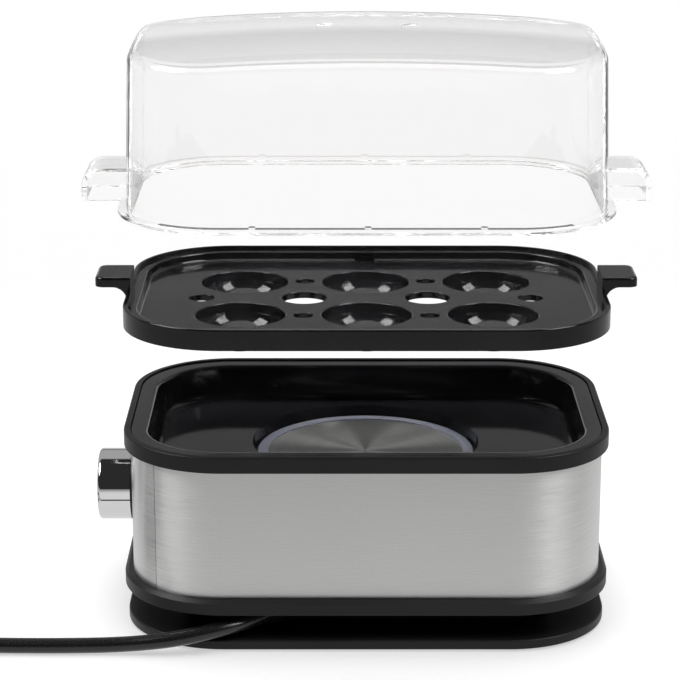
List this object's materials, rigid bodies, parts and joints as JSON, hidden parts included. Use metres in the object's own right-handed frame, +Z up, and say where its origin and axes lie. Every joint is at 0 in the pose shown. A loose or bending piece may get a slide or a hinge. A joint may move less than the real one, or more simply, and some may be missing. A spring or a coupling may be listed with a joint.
{
  "type": "electric egg cooker",
  "caption": "Electric egg cooker: steel-clad base with a heated water bowl and a turning knob, an egg tray and a clear lid lifted off above it, and a mains cord.",
  "frame": {"origin": "on the surface that the object stands on, under the middle of its base", "axes": "+X to the object's right seen from the front, +Y to its back, +Z up"},
  "size_m": [0.4194, 0.1669, 0.2708],
  "materials": {
    "brushed_steel": "brushed along its length",
    "plate_steel": "turned to a circular grain",
    "satin_black": "satin moulded plastic",
    "gloss_black": "glossy moulded plastic",
    "pale_silicone": "smooth silicone",
    "knob_chrome": "polished plating",
    "clear_plastic": "clear moulded plastic",
    "spreader_aluminium": "as rolled",
    "zinc_steel": "zinc plated",
    "element_sheath": "heat tinted",
    "ceramic": "unglazed",
    "control_plastic": "moulded insulation",
    "cord_rubber": "satin cord jacket",
    "foot_rubber": "matt",
    "wire_jacket": "smooth wire insulation",
    "earth_jacket": "smooth wire insulation",
    "plated_brass": "nickel plated"
  },
  "bodies": {
    "base": {"steel_band": "brushed_steel", "top_frame": "satin_black", "water_bowl": "gloss_black", "heating_plate": "plate_steel", "plate_seal": "pale_silicone", "plate_clamp": "zinc_steel", "clamp_screws": "zinc_steel", "heat_spreader": "spreader_aluminium", "heating_element": "element_sheath", "element_terminals": "ceramic", "boil_dry_cutout": "zinc_steel", "thermal_fuse": "ceramic", "fuse_clip": "zinc_steel", "base_tray": "satin_black", "housing_screws": "zinc_steel", "bottom_plate": "satin_black", "plate_screws": "zinc_steel", "rubber_feet": "foot_rubber", "control_bracket": "zinc_steel", "bracket_screws": "zinc_steel", "rotary_control": "control_plastic", "bush_nut": "zinc_steel", "knob_ring": "satin_black", "terminal_block": "control_plastic", "cord_clamp": "control_plastic", "inner_lead": "cord_rubber", "supply_wires": "wire_jacket", "control_wires": "wire_jacket", "element_wires": "wire_jacket", "earth_wire": "earth_jacket", "cord_gland": "cord_rubber", "mains_cord": "cord_rubber", "cord_coil": "cord_rubber", "cord_tail": "cord_rubber", "cord_tie": "cord_rubber", "plug_body": "cord_rubber", "plug_pins": "plated_brass", "plug_earth_clips": "plated_brass"},
    "knob": {"knob_shell": "knob_chrome", "knob_core": "satin_black", "control_shaft": "zinc_steel"},
    "tray": {"egg_tray": "gloss_black"},
    "lid": {"clear_lid": "clear_plastic"}
  },
  "joints": [
    {"name": "knob_turn", "type": "hinge", "parent": "base", "child": "knob", "pos_m": [-0.11, 0, 0.053], "axis": [1, 0, 0], "range_deg": [0, 270]},
    {"name": "tray_lift", "type": "slide", "parent": "base", "child": "tray", "axis": [0, 0, 1], "range_m": [-0.0482, 0]},
    {"name": "lid_lift", "type": "slide", "parent": "tray", "child": "lid", "axis": [0, 0, 1], "range_m": [-0.0422, 0]}
  ]
}
